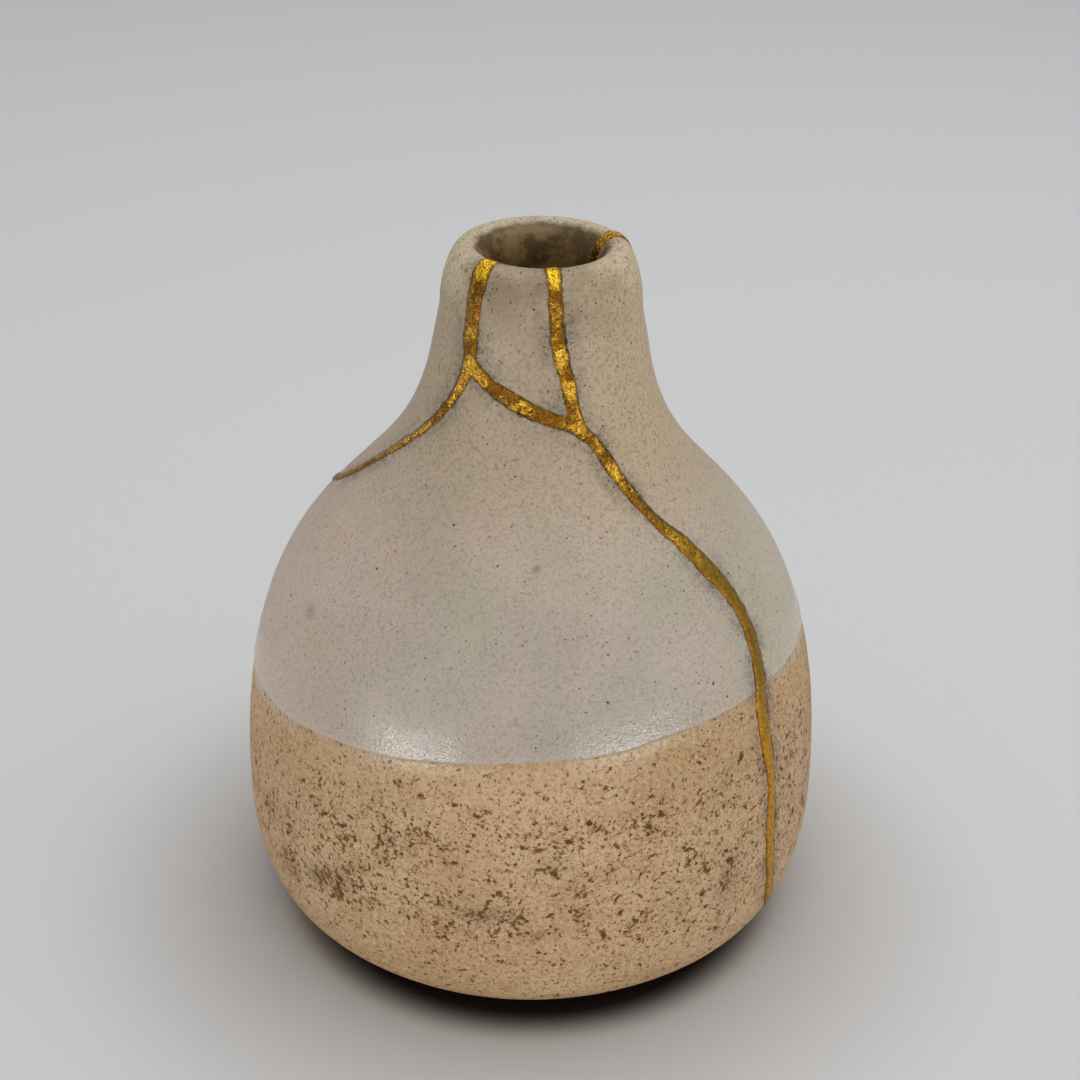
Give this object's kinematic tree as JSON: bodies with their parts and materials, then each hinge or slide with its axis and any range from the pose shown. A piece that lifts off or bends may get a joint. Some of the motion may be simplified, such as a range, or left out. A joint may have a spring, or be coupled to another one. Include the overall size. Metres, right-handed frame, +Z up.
{
  "type": "mended bud vase",
  "caption": "Small round-bellied stoneware bud vase with a narrow thick-lipped neck, half-dipped glaze and raised gold mending seams.",
  "frame": {"origin": "centre of the foot, on the surface that the vase stands on", "axes": "+Z up through the mouth; -Y is the front, with the small neck shard and the fork of the seams"},
  "size_m": [0.0836, 0.0836, 0.1003],
  "materials": {
    "glaze": "satin",
    "bare_clay": "matte",
    "gold_lacquer": "satin"
  },
  "bodies": {
    "root": {"lower_body_shard": "bare_clay", "front_neck_shard": "glaze", "left_neck_shard": "glaze", "right_side_shard": "glaze", "gold_seams": "gold_lacquer"}
  },
  "joints": []
}
